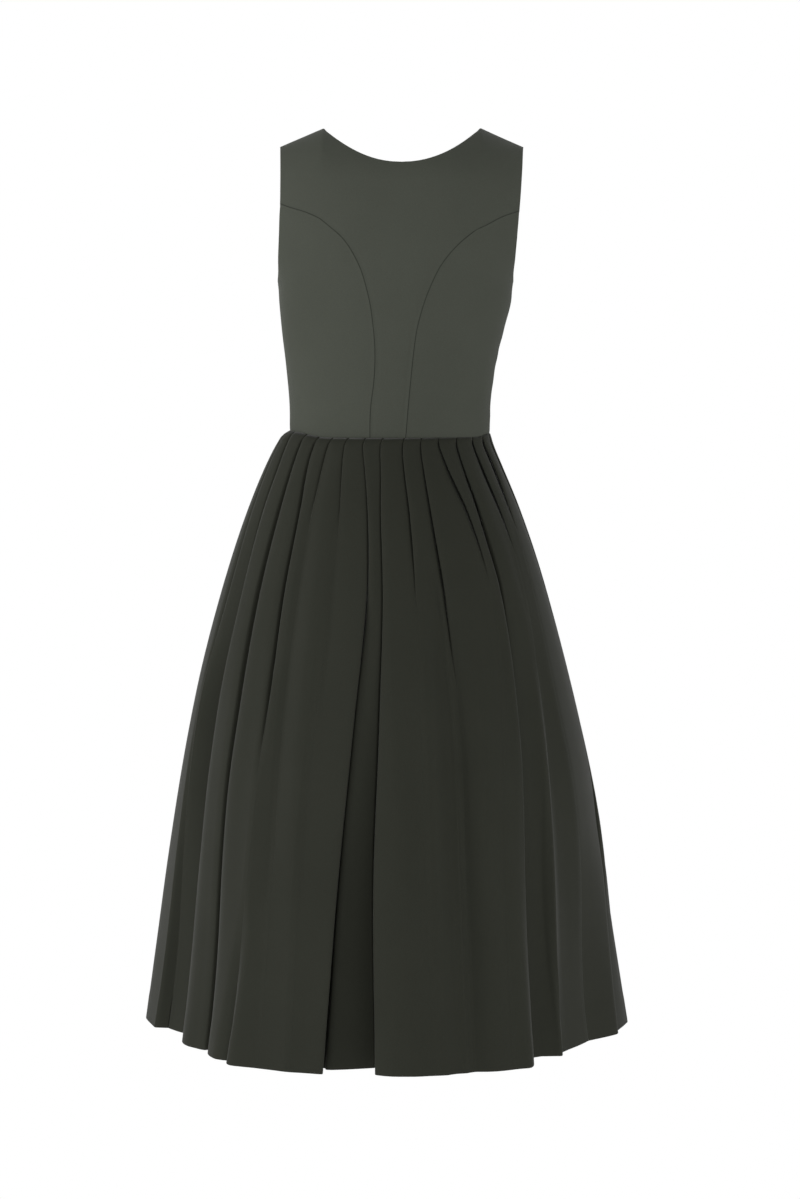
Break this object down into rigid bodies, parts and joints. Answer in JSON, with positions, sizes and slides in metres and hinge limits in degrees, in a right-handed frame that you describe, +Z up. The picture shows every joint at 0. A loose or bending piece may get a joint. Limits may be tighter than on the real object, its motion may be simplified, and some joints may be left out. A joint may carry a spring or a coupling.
{
  "type": "sleeveless dirndl dress",
  "caption": "Hollow sleeveless folk dress with a fitted bodice, curved princess seams, a wide round neck and a knife-pleated bell skirt.",
  "frame": {"origin": "midway between the two shoulder points at the neck, where the wearer's shoulders carry the dress", "axes": "+Z up, the back of the dress faces -Y, the wearer's left is -X"},
  "size_m": [0.6355, 0.6208, 1.1716],
  "materials": {
    "bodice_cloth": "matt, fine smooth weave, dark grey-green",
    "skirt_cloth": "matt with a soft sheen, fine twill, dark olive green"
  },
  "bodies": {
    "root": {"back_centre": "bodice_cloth", "back_side_left": "bodice_cloth", "back_side_right": "bodice_cloth", "front_centre_left": "bodice_cloth", "front_centre_right": "bodice_cloth", "front_side_left": "bodice_cloth", "front_side_right": "bodice_cloth", "skirt_back": "skirt_cloth", "skirt_front": "skirt_cloth"}
  },
  "joints": []
}
